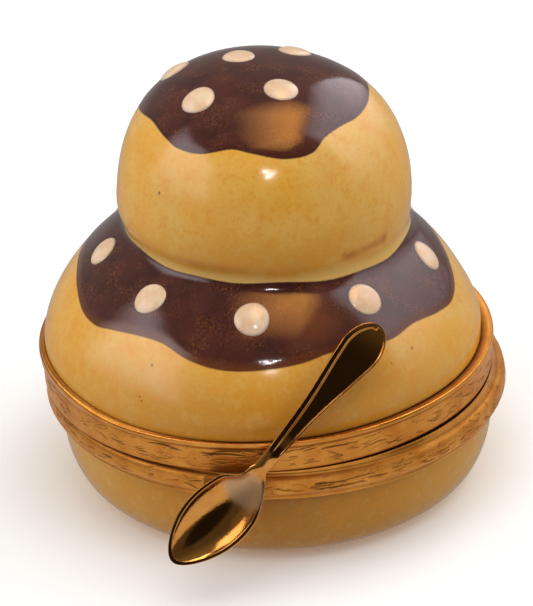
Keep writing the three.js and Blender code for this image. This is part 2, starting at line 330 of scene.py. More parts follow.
def giltMetal(name, light, deep, rough, cloud, streaks, grit):
    # warm gilding: dark and dull in grooves and where shade is painted, brighter where grooveAndShade is below zero by
    # lower roughness, with cloudy wear, fine grain and a pale rough look where it is worn and where a hazy reflection
    # is painted
    material, place = newFinish(name)
    wear, grain, grooveAndShade = place.noise(3.0, 4, 0.6), place.noise(0.22), place.stored("grooveAndShade")
    wornAndSheen = place.stored("wornAndSheen") * (0.4 + 0.9 * grain)
    metal = (grooveAndShade * 0.75).mix(wear.rise(0.3, 0.75).mix(light, deep), tone(44, 24, 12))
    metal = wornAndSheen.mix(metal, tone(204, 164, 126))
    rub = place.node("Mapping", {"Vector": place, "Scale": streaks})
    line = place.node("TexNoise", {"Vector": rub, "Scale": 1000.0, "Detail": 2.0})
    dull = rough + wear * cloud + grooveAndShade * 0.22 + wornAndSheen * 0.45
    normal = (line * 0.5 + grain).bumped(grit, 0.04)
    place.surface({"Base Color": metal, "Metallic": 1.0, "Roughness": dull, "Normal": normal})
    return material


porcelain = porcelainGlaze()
enamel = dotEnamel()
gilt = giltMetal("engravedGilt", tone(214, 146, 66), tone(192, 120, 46), 0.4, 0.12, (0.6, 0.6, 6.0), 0.3)
spoonGilt = giltMetal("spoonGilt", tone(214, 148, 74), tone(196, 124, 54), 0.09, 0.06, (1.5, 1.5, 1.5), 0.2)
print("finishes ready")


lid = dict(
    domeShift=-0.35, domeRadius=26.1, domeFoot=4.5, domeRise=19.7, domeFullness=1.65,
    crownCentre=(0.75, 0, 20.9), crownRadius=17.3, crownRise=16.95, crownDrop=8.2, crownFullness=2.42, crownLean=8,
    wall=2.4, seatRadius=25.6, seatLow=1.05, skirtLow=2.8,
    hollowFoot=4.2, hollowRise=17.6, hollowTop=89,
    hubHeight=16, fillet=2.0,  # rays leave the lid's axis here; the crease between the buns is filled a little
    topAngle=89.2, creaseAngles=(13, 2),  # elevations of the highest ray and of the close rows about the crease
    columns=420, crownRows=82, creaseRows=28, domeRows=62, insideRows=22,
    glazeThick=0.03, glazeBulge=0.02, lumps=0.06,
    rightSwell=0.4, swellHeight=5.0,  # the wide bun is a little fuller low down on its right side
    sideSheen=0.8, footShadeAndGrime=0.2, seatShade=0.7,
    creep=(0.15, 0.16, 0.1),  # how far the brown climbs past the crease: in the mean, and by two waves
    bandShare=0.7, bandHeight=(0.3, 2.1), bandWaves=(0.25, 0.2),  # the beige band above the crease
    lowShadeShares=(0.7, 0.6, 0.12), lowShadeHeight=(1, 10), lowShadeAngle=(8, 28),  # deeper ochre, partly glaze pooling and partly painted shade low down and by the crease: small bun, wide bun, least
    rustShares=(0.1, 0.6), rustHeight=(2.2, 0.55), rustTurn=(-22, 15),  # rust marks: all round, and more near a turn
    # golden reflections of a warm light, painted on the cap and the ring: share, turn, height angle, half sizes; and
    # thin glaze along its lower edge
    reflectionCap=(0.25, 6, 52, 16, 14), reflectionRing=(0.6, 18, 34, 8, 6), thinEdge=0.6, thinWidth=1.5,
    brushMark=[(8.6, -14.4, 34.05), (12.9, -10.4, 34.1)], brushWidth=0.7,  # a smear above the crease, end to end
    # the brown glaze ends along these wavy lines of (turn, height angle)
    capLine=[(-180, 35.5), (-150, 33), (-118, 28), (-100, 28.8), (-86, 31.8), (-70, 35), (-55, 33.4), (-45, 32),
             (-33, 33.5), (-20, 38.8), (-11, 38.8), (5, 37.8), (18, 40.5), (26, 46.7), (39, 50.7), (51, 51.8),
             (70, 53.8), (94, 54.6), (122, 50), (152, 41)],
    ringLine=[(-160, 27), (-122, 31), (-88, 31.7), (-74, 29.4), (-63, 26.6), (-55, 26), (-47, 27.4), (-38, 28.5),
              (-29, 28.1), (-21, 25), (-13, 22.9), (-5, 22.3), (11, 23.3), (20, 24.9), (30, 24.4), (39, 23.1),
              (49, 24.2), (61, 22.1), (69, 21), (77, 22.3), (86, 25.8), (100, 29.9), (128, 27), (165, 24)],
)
crownForm, domeForm = ([lid[bun + key] for key in ("Radius", "Rise", "Fullness")] for bun in ("crown", "dome"))
hub, domeCentre = np.array([0, 0, lid["hubHeight"]]), np.array([lid["domeShift"], 0, lid["domeFoot"]])


def onCrown(p):
    # from the small bun's own frame to the lid's: lean about Y, then move to its centre
    return turned(p, "y", lid["crownLean"]) + np.array(lid["crownCentre"])


def inCrown(p):
    # the way back, from the lid's frame to the small bun's
    return turned(p - np.array(lid["crownCentre"]), "y", -lid["crownLean"])


def onDome(p):
    # from the wide bun's own frame to the lid's: a move to its centre
    return p + domeCentre


def reach(start, ray, radius, rise, drop, fullness):
    # how far each ray runs before it leaves the superellipsoid (r/radius)^n + (z/half)^n = 1, where half is
    # rise above its middle and drop below; found by halving a stretch of 60 mm again and again
    low, high = np.zeros(ray.shape[:-1]), np.full(ray.shape[:-1], 60.0)
    for _ in range(34):
        mid = (low + high) / 2
        p = start + mid[..., None] * ray
        half = np.where(p[..., 2] > 0, rise, drop)
        level = (radiusOf(p) / radius) ** fullness + (np.abs(p[..., 2]) / half) ** fullness
        low, high = np.where(level < 1, mid, low), np.where(level < 1, high, mid)
    return low


def bunRays(turn, elevation):
    # unit rays: turned round Z from the front, and up from the level by the elevation
    t, e = np.radians(turn), np.radians(elevation)
    return np.stack([np.cos(e) * np.sin(t), -np.cos(e) * np.cos(t), np.sin(e)], -1)


def bunReach(ray, shrink, radius, foot, rise):
    # reach of the small bun and of the wide bun along rays from the hub; below its foot the wide one runs straight down
    small = reach(inCrown(hub), turned(ray, "y", -lid["crownLean"]), lid["crownRadius"] - shrink,
                  lid["crownRise"] - shrink, lid["crownDrop"] - shrink, lid["crownFullness"])
    shift = 0 if shrink else lid["domeShift"]
    wide = reach(hub - np.array([shift, 0, foot]), ray, radius, rise, 1e4, lid["domeFullness"])
    return small, wide


def heightAngle(p, radius, rise, fullness):
    # the angle whose sine and cosine give this point of the superellipse
    r, z = radiusOf(p) / radius, np.clip(p[..., 2], 0, None) / rise
    return np.degrees(np.arctan2(z ** (fullness / 2), r ** (fullness / 2)))


def rowChange(value, rows):
    # change of a value per millimetre from row to row
    return np.abs(np.gradient(value, axis=0)) / (np.linalg.norm(np.gradient(rows, axis=0), axis=-1) + 1e-9)


def lineDistance(p, rows, line, form):
    # millimetres above a wavy line on a bun: angle above it over the angle's change per millimetre
    height = heightAngle(p, *form)
    return (height - wavyLine(line, turnOf(p))) / np.maximum(rowChange(height, rows), 0.8)


def softSpot(p, form, share, turn, height, turnWidth, heightWidth):
    # a soft oval on a bun: the product of two bells, over the turn and over the height angle
    return share * bell(turnOf(p), turn, turnWidth) * bell(heightAngle(p, *form), height, heightWidth)


def toRight(p):
    # 0 at the front and back and 1 on the right: x over the radius, eased
    return ease(0.55, 0.97, p[..., 0] / radiusOf(p))


def lidRows(turn):
    # rays from the hub, row by row from the top to the foot, run to the rounded maximum of the two buns' reaches; also
    # gives how much further the small bun reaches
    k = lid
    above, below = k["creaseAngles"]
    foot = np.degrees(np.arctan2(k["domeFoot"] - k["hubHeight"],
                                 k["domeRadius"] + k["domeShift"] * np.sin(np.radians(turn))))
    top = np.linspace(k["topAngle"], above, k["crownRows"], endpoint=False)
    crease = np.linspace(above, below, k["creaseRows"], endpoint=False)
    share = np.linspace(0, 1, k["domeRows"])[:, None]
    elevation = np.vstack([np.repeat(np.r_[top, crease][:, None], len(turn), 1),
                           below + (foot + 0.02 - below) * share])
    ray = bunRays(np.broadcast_to(turn, elevation.shape), elevation)
    small, wide = bunReach(ray, 0, k["domeRadius"], k["domeFoot"], k["domeRise"])
    return hub + roundedMax(small, wide, k["fillet"])[..., None] * ray, small - wide


def lidPaint(rows, above, t):
    # numbers per point for the glaze: brown is millimetres inside the brown glaze, which ends at the wavy lines and a
    # little past the crease; the others are shares, from eased heights, soft spots and sines of the turn
    k = lid
    onSmall, atCrown, atDome = above > 0, inCrown(rows), rows - domeCentre
    aboveCrease = above / np.maximum(rowChange(above, rows), 0.35)
    cap = lineDistance(atCrown, rows, k["capLine"], crownForm)
    ring = lineDistance(atDome, rows, k["ringLine"], domeForm)
    mean, broad, fine = k["creep"]
    creep = mean + broad * np.sin(5 * t + 1) + fine * np.sin(11 * t)
    brown = np.clip(np.maximum(np.where(onSmall, cap, -9), np.minimum(ring, creep - aboveCrease)), -6, 6)
    # painted reflection: golden spots where a warm light mirrors in the brown glaze; along the ring's lower edge the
    # glaze is thin
    thinGlazeAndReflection = np.where(onSmall, softSpot(atCrown, crownForm, *k["reflectionCap"]), softSpot(atDome, domeForm, *k["reflectionRing"]))
    thinGlazeAndReflection = np.maximum(thinGlazeAndReflection, k["thinEdge"] * (1 - ease(0, k["thinWidth"], ring)) * (above < 0))
    fine, broad = k["bandWaves"]
    wave = fine * np.sin(9 * t) + broad * np.sin(4 * t + 2)
    seamBand = np.where(onSmall, k["bandShare"] * (1 - ease(*k["bandHeight"], aboveCrease + wave)), 0)
    # painted shade: deeper ochre low on each bun and by the crease, partly glaze pooling; the side sheen is painted and
    # pales it at the sides
    lowSmall, lowWide, least = k["lowShadeShares"]
    lowOnCrown = lowSmall * (1 - ease(*k["lowShadeHeight"], aboveCrease))
    lowOnDome = lowWide * (1 - ease(*k["lowShadeAngle"], heightAngle(atDome, *domeForm))) + least
    low = np.where(onSmall, lowOnCrown, lowOnDome) * (1 - k["sideSheen"] * np.sin(t) ** 2)
    little, more = k["rustShares"]
    marks = little + more * bell(turnOf(atCrown), *k["rustTurn"])
    rust = np.where(onSmall, bell(aboveCrease, *k["rustHeight"]) * marks, 0)
    start, end = (np.array(place) - np.array(box["lidSeat"]) for place in k["brushMark"])
    mark = end - start
    share = np.clip((rows - start) @ mark / (mark @ mark), 0, 1)
    away = np.linalg.norm(rows - start - share[..., None] * mark, axis=-1)
    rust = np.maximum(rust, np.exp(-(away / k["brushWidth"]) ** 4))
    return dict(brown=brown, thinGlazeAndReflection=thinGlazeAndReflection, seamBand=seamBand, rust=rust, low=low)


def lidRelief(rows, brown, t):
    # the brown glaze stands a little proud and gathers into a soft ridge along its edge; broad lumps are products of
    # sines; and the right side swells low down
    k, z = lid, rows[..., 2]
    relief = k["glazeThick"] * ease(0, 0.7, brown) + k["glazeBulge"] * bell(brown, 1.1, 0.7)
    lumps = (np.sin(3 * t + 0.6) * np.sin(z / 4) + np.sin(5 * t + z / 3)) / 2
    relief = relief + k["lumps"] * lumps * ease(4, 14, radiusOf(rows))
    rows = rows + outward(rows) * relief[..., None]
    nearFoot = 1 - ease(k["domeFoot"], k["domeFoot"] + k["swellHeight"], rows[..., 2])
    rows[..., 0] += k["rightSwell"] * toRight(rows) * nearFoot
    return rows


def lidInside(turn):
    # the foot's edge behind the lip, darkened by painted shade and grime, the seat inside the rim, and the hollow: the
    # two buns again, a wall further in
    k = lid
    wide, low, seat, r = k["domeRadius"], k["skirtLow"], k["seatLow"], k["seatRadius"]
    inner = r - k["wall"]
    edge = np.array([[wide, z] for z in (4.1, 3.7, 3.5, 3.3, 3.1)]
                    + [[wide - 0.02, low + 0.12], [wide - 0.1, low], [r + 0.08, low]])
    skirt = np.array([[r, low - 0.1], [r, 1.9], [r, seat + 0.1], [r - 0.1, seat], [inner + 0.15, seat],
                      [inner, seat + 0.15], [inner, 2.6], [inner, k["hollowFoot"]]])
    shadeAndGrime = k["footShadeAndGrime"] * (1 - ease(low, low + 0.75, edge[:, 1]))
    edge, skirt = around(edge, turn), around(skirt, turn)
    edge[..., 0] += k["domeShift"] + k["rightSwell"] * toRight(edge)
    start = np.degrees(np.arctan2(k["hollowFoot"] + 0.1 - k["hubHeight"], inner))
    up = np.linspace(0, 1, k["insideRows"]) ** 0.8
    ray = bunRays(*np.meshgrid(turn, start + (k["hollowTop"] - start) * up))
    reaches = bunReach(ray, k["wall"], inner, k["hollowFoot"], k["hollowRise"])
    return edge, shadeAndGrime, skirt, hub + roundedMax(*reaches, k["fillet"])[..., None] * ray


def makeLid():
    # one closed run of rows: the buns from the top to the foot, the foot's edge, the seat, and the hollow up to its top
    turn = turns(lid["columns"])
    rows, above = lidRows(turn)
    paint = lidPaint(rows, above, np.radians(turn))
    rows = lidRelief(rows, paint["brown"], np.radians(turn))
    edge, shadeAndGrime, skirt, hollow = lidInside(turn)
    whole = onLid(np.vstack([rows, edge, skirt, hollow]))
    paint["low"] = np.vstack([paint["low"], np.repeat(paint["low"][-1:], len(edge), 0)])
    hidden = 2  # the top of the skirt can be glimpsed past the lip, so it is painted dark as shade and not pale
    paint["inner"] = np.zeros((len(rows) + len(edge) + hidden, len(turn)))
    shadeAndGrime = np.r_[np.zeros(len(rows)), shadeAndGrime, np.full(hidden, lid["seatShade"])]
    paint["shadeAndGrime"] = np.repeat(shadeAndGrime[:, None], len(turn), 1)
    rest = dict(brown=-6.0, low=1.0, inner=1.0)  # the rows that are left get these, or else 0
    values = {key: [np.vstack([grid, np.full((len(whole) - len(grid), len(turn)), rest.get(key, 0.0))])]
              for key, grid in paint.items()}
    addPiece("bunLid", [(whole, False)], porcelain, "lid", ["lid_shell"], values)


makeLid()


dots = dict(
    radius=2.0, height=0.46, depth=0.55, bend=20, columns=44, seed=5, wobble=(0.035, 0.02),
    # (turn, height angle, stretch, direction of the stretch)
    crown=[(-53, 55, 1.0, 0), (-107, 49.3, 1.02, 40), (-113, 78, 1.05, 20), (3, 73, 1.0, 0), (157.5, 75, 1.04, 70),
           (172, 44, 1.0, 0), (-152, 40, 1.03, 30)],
    ring=[(-79.5, 41.6, 1.0, 0), (-39.5, 39, 1.08, 40), (-2, 37, 1.0, 0), (37, 36.5, 1.06, 130), (76.5, 35, 1.05, 60),
          (117.3, 36.6, 1.0, 0), (157.3, 38.4, 1.03, 20), (-162.7, 40.2, 1.0, 0), (-122.7, 41.6, 1.04, 80)],
)


def dotShape(stretch, direction, random):
    # a lens: height (1 - s^2)^0.62 over the share s of an egg-shaped outline, with a flat sunk underside
    a = np.radians(turns(dots["columns"]))
    share = np.r_[np.linspace(0.1, 0.9, 9), 0.95, 0.985, 1.0]
    s = np.r_[share, 0.93, 0.6][:, None]
    rise = np.r_[dots["height"] * (1 - share**2) ** 0.62, -dots["depth"] * np.array([0.9, 1.0])][:, None]
    d = a - np.radians(direction)
    egg, lobes = dots["wobble"]
    wobble = 1 + egg * random.normal() * np.cos(d) + lobes * random.normal() * np.cos(3 * d + random.uniform(0, 6))
    r = dots["radius"] * s * wobble / np.sqrt(np.cos(d) ** 2 / stretch**2 + np.sin(d) ** 2 * stretch**2)
    x, y = r * np.cos(a), r * np.sin(a)
    z = rise - r**2 / (2 * dots["bend"])
    return np.stack([x, y, z + 0 * x], -1), np.broadcast_to(np.r_[share, 1, 1][:, None], x.shape)


def dotOnBun(p, turn, height, radius, rise, fullness):
    # laid on the superellipse: tipped to its normal, moved to its point and turned round the axis
    c, s = np.cos(np.radians(height)), np.sin(np.radians(height))
    tip = np.degrees(np.arctan2(c ** (2 - 2 / fullness) / radius, s ** (2 - 2 / fullness) / rise))
    p = turned(p, "x", tip) + np.array([0, -radius * c ** (2 / fullness), rise * s ** (2 / fullness)])
    return turned(p, "z", turn)


def makeDots():
    # each dot's lens is laid on its bun and goes with it to the lid's place
    random = np.random.default_rng(dots["seed"])
    shells, shares = [], []
    for row, bun, form in (("crown", onCrown, crownForm), ("ring", onDome, domeForm)):
        for turn, height, stretch, direction in dots[row]:
            lens, share = dotShape(stretch, direction, random)
            shells.append((onLid(bun(dotOnBun(lens, turn, height, *form))), False))
            shares.append(share)
    addPiece("enamelDots", shells, enamel, "lid", (), dict(rim=shares))


makeDots()


bowl = dict(
    footRadius=19.9, radius=26.2, wall=3.0, fullness=2.7, floor=3.5, side=10.2, top=12.35, columns=300,
    rightSwell=0.22, lumps=0.05,  # fuller on the right, and a little uneven all round
    deep=0.95, sideSheen=0.7,  # deeper ochre in front, partly painted shade, and paler at the sides as painted sheen
    shadeAndGrime=0.6, shadeAndGrimeHeight=(9.2, 10.0),  # and darker just below the rim: painted shade under it, with some grime
)


def makeBowl():
    # lathe of a flat foot, a quarter superellipse up to the rim, and the same curve inside
    b = bowl
    foot, wide, wall, side, top, floor = (b[key] for key in ("footRadius", "radius", "wall", "side", "top", "floor"))
    inner = wide - wall
    out = quarter(foot, side, wide - foot, -side, b["fullness"], 40)[::-1]
    within = quarter(foot - wall, side, wide - foot, floor - side, b["fullness"], 24)
    under = np.array([[0.5, 0], [12, 0], [foot - 0.3, 0]])
    edge = np.array([[wide, 11.3], [wide, top - 0.2], [wide - 0.2, top], [inner + 0.2, top], [inner, top - 0.2]])
    profile = np.vstack([under, out, edge, within, [[12, floor], [0.5, floor]]])
    rows = around(profile, turns(b["columns"]))
    t = np.radians(turns(b["columns"]))[None, :]
    swell = b["lumps"] * np.sin(3 * t + 1) * np.sin(np.pi * np.clip(rows[..., 2] / side, 0, 1))
    number, outside = np.arange(len(profile))[:, None], len(under) + len(out)
    outer = number < outside
    rows[..., :2] *= 1 + outer[..., None] * swell[..., None] / wide
    rows[..., 0] += b["rightSwell"] * outer * toRight(rows)
    values = dict(brown=[-6.0], inner=[(number >= outside + 2) * 1.0], low=[b["deep"] - b["sideSheen"] * np.sin(t) ** 2],
                  shadeAndGrime=[b["shadeAndGrime"] * ease(*b["shadeAndGrimeHeight"], profile[:, 1:])])
    addPiece("bunBase", [(rows, False)], porcelain, "base", ["base_bowl"], values)


makeBowl()


rims = dict(
    columns=1000, groups=90, strays=170, seed=11, hammer=0.022, darkDepth=0.07,
    # how far the rims are bent out of true, and the heights and radii between which each bend comes in
    seamTilt=0.32, seamShift=0.22, beadHeight=(13.41, 13.5), drawnHeight=(13.26, 13.42), drawnRadius=(25.5, 26.1),
    lidSpread=0.42, spreadRadius=(25.95, 26.1), lidDraw=0.2, drawHeight=(2.2, 2.6), lipLift=0.8,
    liftHeight=(2.45, 2.75), slopeLift=0.5, slopeHeight=(2.5, 2.55), slopeRadius=(26.3, 27.0),
    # corners are (radius, height, rounding, rows to the next corner); band names the engraved side and bulge is how
    # far it swells between its corners
    base=[(26.5, 10.1, 0.05, 1), (27.2, 10.1, 0.08, 0), (27.42, 10.3, 0.1, 1), (27.3, 10.52, 0.05, 0),
          (27.36, 10.58, 0.04, 30), (26.86, 13.22, 0.05, 0), (26.74, 13.24, 0.04, 0), (26.73, 13.44, 0.06, 0),
          (26.5, 13.54, 0.08, 0), (26.26, 13.48, 0.06, 0), (26.2, 13.4, 0.04, 1), (23.2, 13.4, 0.08, 1),
          (23.2, 12.65, 0.08, 1), (26.5, 12.65, 0.04, 1)],
    # per side of the profile: dark oxide, and painted shade along the seam, under the lip's bead, on its inner slope
    # and inside the rims; below zero the metal is smoother
    baseBand=4, baseBulge=0.8, baseDirt=[0.6, -0.5, -0.9, 0.7, 0.05, 0.7, -0.3, -1.4, -0.6, 0.4, 0.6, 0.9, 0.9, 0.9],
    baseFront=(6, 4.5, 0.3, 0.75, 12),  # deep cuts near the front: place along, spread, share up from and to, count
    lid=[(23.2, 0, 0.08, 1), (26.3, 0, 0.06, 0), (26.4, -0.46, 0.06, 0), (26.98, -0.56, 0.08, 0),
         (27.08, -0.34, 0.1, 30), (26.9, 2.3, 0.06, 0), (27.12, 2.5, 0.08, 0), (27.26, 2.78, 0.1, 0),
         (27.16, 3.1, 0.08, 0), (26.98, 3.14, 0.06, 0), (26.6, 3.04, 0.06, 1), (26.14, 2.8, 0.04, 0),
         (26.14, 2.6, 0.04, 1), (25.9, 2.6, 0.04, 1), (25.9, 0.75, 0.05, 1), (23.2, 0.75, 0.08, 1)],
    lidBand=4, lidBulge=0.05, lidFront=(-1, 5, 0.78, 0.97, 15),
    lidDirt=[0.9, 0.9, 0.8, 0.2, 0, 0.9, 0.1, -0.6, -1.4, 0.3, 0.5, 0.45, 0.9, 0.9, 0.9, 0.9],
)


def strokes(length, high, front, random):
    # broken rows of cuts that run along the band, single scratches, and long deep cuts near the front; each stroke
    # is (place along, place up, half length, half width, slant, bow, depth)
    even, normal = random.uniform, random.normal
    made = []
    for group in range(rims["groups"]):
        s0 = (group + even(-0.4, 0.4)) * length / rims["groups"]
        t0, slant = even(0.2, 0.8) * high, normal(0, 8)
        for k in range(random.integers(2, 6)):
            made.append((s0 + normal(0, 0.8), t0 + (k - 2) * even(0.16, 0.4), even(0.2, 1.2), even(0.035, 0.085),
                         slant + normal(0, 9), even(-0.3, 0.3), even(0.03, 0.08)))
    for _ in range(rims["strays"]):
        made.append((even(0, length), even(0.06, 0.96) * high, even(0.15, 0.7), even(0.03, 0.07), normal(0, 22),
                     even(-0.6, 0.6), even(0.02, 0.06)))
    place, spread, low, top, count = front
    for _ in range(count):
        made.append((normal(place, spread), even(low, top) * high, even(0.6, 2.2), even(0.06, 0.13), normal(0, 4),
                     even(-0.06, 0.06), even(0.07, 0.1)))
    return made


def engrave(along, across, length, front, random):
    # grooves on the unrolled band: each is a bent stroke whose depth is 1 - (v/w)^2 across and tapers to its ends
    depth = np.zeros((len(across), len(along)))
    pace = length / len(along)
    for s0, t0, half, width, slant, bow, cut in strokes(length, across.max(), front, random):
        c, k = np.cos(np.radians(slant)), np.sin(np.radians(slant))
        near = np.arange(int((s0 - half - 0.4) / pace), int((s0 + half + 0.4) / pace) + 1)
        ds, dt = near * pace - s0, across[:, None] - t0
        u = ds * c + dt * k
        v = -ds * k + dt * c - bow * (u**2 - half**2 / 3)
        w = width * np.sqrt(np.clip(1 - (u / half) ** 2, 1e-6, 1))
        grooveAndShade = cut * np.clip(1 - (v / w) ** 2, 0, 1) * (np.abs(u) < half)
        columns = near % len(along)
        depth[:, columns] = np.maximum(depth[:, columns], grooveAndShade)
    return depth


def rimShape(part, random):
    # lathe of the profile; the band swells by bulge (1 - |2 t^1.2 - 1|^4), its rows are cut by the grooves and beaten
    # into shallow waves, and the sides are dark by their dirt and painted shade
    corners, band, bulge, dirtAndShade, front = (rims[part + key] for key in ("", "Band", "Bulge", "Dirt", "Front"))
    profile, side = cornerLoop(corners)
    turn = turns(rims["columns"])
    rows = around(profile, turn)
    on = np.where(side == band)[0]
    across = np.r_[0, np.cumsum(np.linalg.norm(np.diff(profile[on], axis=0), axis=1))]
    swell = bulge * (1 - np.abs(2 * (across / across.max()) ** 1.2 - 1) ** 4)[:, None]
    radius = profile[on, 0].mean()
    along = np.radians(turn) * radius
    depth = engrave(along, across, 2 * np.pi * radius, front, random)
    s, t = along[None, :], across[:, None]
    waves = sum(np.sin(np.round(radius * f) * s / radius + g * t + h) for f, g, h in random.uniform(
        (2.0, -3.0, 0), (5.5, 3.0, 6.28), (7, 3))) / 7
    inside = np.minimum(t, across.max() - t)  # distance from the band's nearer edge
    grooveAndShade = np.repeat(np.interp(side, np.arange(len(dirtAndShade)), dirtAndShade)[:, None], len(turn), 1)
    grooveAndShade[on] = np.clip(dirtAndShade[band] + depth / rims["darkDepth"], 0, 1)
    move = np.zeros(rows.shape[:2])
    move[on] = swell + ease(0, 0.25, inside) * (rims["hammer"] * waves) - depth * ease(0, 0.1, inside)
    flat = np.stack([np.sin(np.radians(turn)), -np.cos(np.radians(turn)), 0 * turn], -1)[None]
    return rows + move[..., None] * flat, grooveAndShade


hinge = dict(barrelRadius=1.3, boreRadius=0.8, pinRadius=0.5, pinOverhang=0.3, middle=3.6, side=3.2, clear=0.35,
             leafDepth=2.8, leafPlace=1.8, leafHeight=2.1, leafClear=0.1, halfSeam=0.4, columns=48)


def alongX(profile, columns):
    # lathe about X: (radius, place) points go round the pin's line
    p = around(profile, turns(columns))
    return np.stack([p[..., 2], p[..., 0], -p[..., 1]], -1)


def barrel(x, length):
    # a tube about the pin's line with rounded ends
    h = hinge
    half = length / 2
    loop, _ = cornerLoop([(h["boreRadius"], -half, 0.08, 3), (h["barrelRadius"], -half, 0.16, 8),
                          (h["barrelRadius"], half, 0.16, 3), (h["boreRadius"], half, 0.08, 6)])
    return alongX(loop, h["columns"]) + np.array([x, box["hingeY"], box["hingeZ"]])


def roundedBlock(size, rounding, columns=40, rows=24):
    # superellipsoid block: signed powers of cosine and sine on a grid of two angles, squared off by a small power
    a = np.radians(turns(columns))[None, :]
    e = np.linspace(-np.pi / 2, np.pi / 2, rows + 2)[1:-1, None]
    power = lambda value: np.sign(value) * np.abs(value) ** rounding
    return np.stack([power(np.cos(e)) * power(np.cos(a)), power(np.cos(e)) * power(np.sin(a)),
                     power(np.sin(e)) + 0 * a], -1) * np.array(size) / 2


def leaf(x, length, low):
    # the block that joins a barrel to its rim
    h = hinge
    block = roundedBlock((length, h["leafDepth"], h["leafHeight"]), 0.16)
    return block + np.array([x, box["hingeY"] - h["leafPlace"], box["hingeZ"] + low + h["leafHeight"] / 2])


def bendBase(rows):
    # the bead along the seam rises by the share of x in the radius, up to the right under the raised side of the lid,
    # and on that side draws in after it
    k, radius, z = rims, radiusOf(rows), rows[..., 2]
    aside = rows[..., 0] / radius
    drawnIn = ease(*k["drawnHeight"], z) * ease(*k["drawnRadius"], radius) * np.clip(aside, 0, None)
    rows[..., 2] += k["seamTilt"] * ease(*k["beadHeight"], z) * aside
    rows[..., :2] *= 1 - (k["seamShift"] * drawnIn / radius)[..., None]


def bendLid(rows):
    # the lip's inner slope follows the porcelain, which sits a little to one side; the lip climbs on the left, most at
    # its inner slope; the band draws in below it there, and on the right the whole rim spreads; each move is eased
    k, radius, z = rims, radiusOf(rows), rows[..., 2]
    slope, left = 1 - ease(*k["slopeRadius"], radius), -rows[..., 0] / radius
    spread = k["lidSpread"] * toRight(rows) + k["lidDraw"] * ease(0.3, 0.95, left) * (1 - ease(*k["drawHeight"], z))
    lift = k["slopeLift"] * slope * ease(0.1, 0.8, left) + k["lipLift"] * ease(0.6, 1, left)
    rows[..., 0] += lid["domeShift"] * slope * ease(*k["slopeHeight"], z) + spread * ease(*k["spreadRadius"], radius)
    rows[..., 2] += lift * ease(*k["liftHeight"], z)


def makeRims():
    # two lathed rims, each with its barrels and leaves of the hinge, and a pin that is a rod with rounded ends
    h = hinge
    random = np.random.default_rng(rims["seed"])
    rows, grooveAndShade = rimShape("base", random)
    bendBase(rows)
    x = h["middle"] / 2 + h["clear"] + h["side"] / 2
    low = -h["halfSeam"] - h["leafClear"] - h["leafHeight"]
    shells = [(rows, True)] + [s for side in (-x, x) for s in ((barrel(side, h["side"]), True),
                                                             (leaf(side, h["side"], low), False))]
    addPiece("baseRim", shells, gilt, "base", ["base_rim"], dict(grooveAndShade=[grooveAndShade, 0, 0, 0, 0]))
    rows, grooveAndShade = rimShape("lid", random)
    bendLid(rows)
    shells = [(onLid(rows), True), (barrel(0, h["middle"]), True),
              (leaf(0, h["middle"], h["halfSeam"] + h["leafClear"]), False)]
    addPiece("lidRim", shells, gilt, "lid", ["lid_rim"], dict(grooveAndShade=[grooveAndShade, 0, 0]))
    half = h["middle"] / 2 + h["clear"] + h["side"] + h["pinOverhang"]
    r = h["pinRadius"]
    end = quarter(0, half - 0.25, r, 0.25, 2, 7)
    pin = np.vstack([end[-2::-1] * [1, -1], [[r, -half / 2], [r, 0], [r, half / 2]], end[:-1]])
    pin = alongX(pin, h["columns"]) + np.array([0, box["hingeY"], box["hingeZ"]])
    addPiece("hingePin", [(pin, False)], gilt, "base", ["hinge_pin"])


makeRims()


spoon = dict(
    place=(-2.5, -29.7, 15.3), lean=25.5, turn=42.1, rows=230, columns=88,
    handleLength=21.2, thickness=1.0, bend=2.0, bendPower=4, neckHalf=0.86, endHalf=2.4, endRound=3.6,
    arch=0.6, archPlace=3.2, archReach=2.1,  # the neck arches up
    borderWidth=0.8, borderRight=0.4, borderDepth=0.3, borderRise=(2.0, 6.0), borderWall=0.72, borderShade=0.25,
    dishMiddle=-6.6, dishLength=7.1, dishHalf=3.72, dishDepth=1.7, dishWall=0.3, dishPoint=0.24,
    lipHeight=0.2, lip=0.42, lipShade=0.4, lipLine=0.05, edgeHeight=0.1,
    overlap=(-1.5, 0.6), joint=(-1.0, 0.9),  # where bowl and handle both count, and where one turns into the other
    fillet=1.0, filletReach=2.5, sway=0.075, swayFrom=-4.5,  # the fillet at the neck, and how the tip leans aside
    rodFrom=(-2.6, -0.8), rodTo=(2.0, 5.5), flatness=58,  # the neck is a round rod between flatter faces
    shoulder=0.41, shoulderRise=(-2.9, -1.3), shoulderFall=(-0.8, 0.6),  # the bowl is cut back at its left
    wornAndSheen=(0.4, -2.4, 3.1, 2.3), wornSheenEdge=(0.55, 1.1),  # a pale spot near the neck, partly rubbed gilding and partly a painted hazy reflection: place across and along, half sizes
    solderPlace=2.2, solderRadius=0.9, solderDepth=2.5,
)


def handleHalf(y):
    # half width of the handle: a cubic curve from the slim neck to the wide end, then a half ellipse
    k = spoon
    straight = k["handleLength"] - k["endRound"]
    t = np.linspace(0, 1, 200)

    def cubic(*c):
        return (1 - t) ** 3 * c[0] + 3 * t * (1 - t) ** 2 * c[1] + 3 * t**2 * (1 - t) * c[2] + t**3 * c[3]
    along = cubic(0, 0.6 * straight, 0.7 * straight, straight)
    wide = cubic(k["neckHalf"], k["neckHalf"], 0.8 * k["endHalf"], k["endHalf"])
    past = np.clip((y - straight) / k["endRound"], 0, 1)
    return np.where(y < straight, np.interp(y, along, wide), k["endHalf"] * np.sqrt(np.clip(1 - past**2, 0, 1)))


